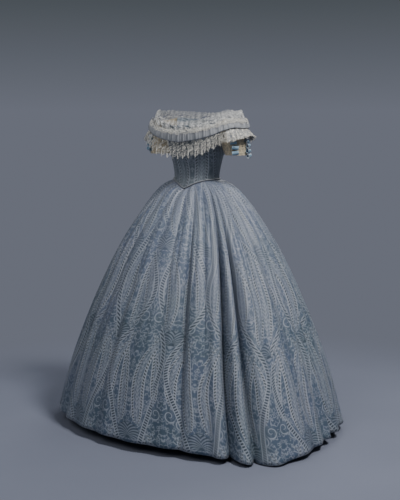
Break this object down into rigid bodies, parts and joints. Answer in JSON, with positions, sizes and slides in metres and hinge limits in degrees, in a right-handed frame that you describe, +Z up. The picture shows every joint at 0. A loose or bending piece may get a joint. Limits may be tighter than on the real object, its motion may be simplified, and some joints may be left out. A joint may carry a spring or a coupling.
{
  "type": "ball gown",
  "caption": "Off-the-shoulder silk ball gown with a pointed bodice, a lace bertha, short ribboned sleeves and a full pleated floor-length skirt.",
  "frame": {"origin": "middle of the waist, where the gown is held, 1.04 m over the floor", "axes": "+Z up out of the waist, the gown faces -Y, and the wearer's left is +X"},
  "size_m": [1.2524, 1.0957, 1.2983],
  "materials": {
    "figured_silk": "grey-blue silk damask with a woven paisley figure",
    "plain_silk": "plain grey-blue silk with a soft sheen",
    "lace": "cream cotton lace",
    "net": "cream net",
    "ribbon": "pale blue silk ribbon"
  },
  "bodies": {
    "root": {"skirt_front": "figured_silk", "skirt_side_front_left": "figured_silk", "skirt_side_back_left": "figured_silk", "skirt_back_left": "figured_silk", "skirt_side_front_right": "figured_silk", "skirt_side_back_right": "figured_silk", "skirt_back_right": "figured_silk", "bodice_front_left": "figured_silk", "bodice_side_left": "figured_silk", "bodice_back_left": "figured_silk", "bodice_front_right": "figured_silk", "bodice_side_right": "figured_silk", "bodice_back_right": "figured_silk", "waist_piping": "plain_silk", "neck_frill_front": "lace", "bertha_heading_front": "lace", "bertha_ruche_front": "plain_silk", "bertha_flounce_front": "lace", "neck_frill_back": "lace", "bertha_heading_back": "lace", "bertha_ruche_back": "plain_silk", "bertha_flounce_back": "lace", "sleeve_left": "net", "cap_silk_left": "plain_silk", "cap_lace_left": "lace", "ribbon_loop_left_front_1": "ribbon", "ribbon_loop_left_front_2": "ribbon", "ribbon_loop_left_front_3": "ribbon", "ribbon_loop_left_outer_1": "ribbon", "ribbon_loop_left_outer_2": "ribbon", "ribbon_loop_left_outer_3": "ribbon", "ribbon_loop_left_outer_4": "ribbon", "sleeve_right": "net", "cap_silk_right": "plain_silk", "cap_lace_right": "lace", "ribbon_loop_right_front_1": "ribbon", "ribbon_loop_right_front_2": "ribbon", "ribbon_loop_right_front_3": "ribbon", "ribbon_loop_right_outer_1": "ribbon", "ribbon_loop_right_outer_2": "ribbon", "ribbon_loop_right_outer_3": "ribbon", "ribbon_loop_right_outer_4": "ribbon"}
  },
  "joints": []
}
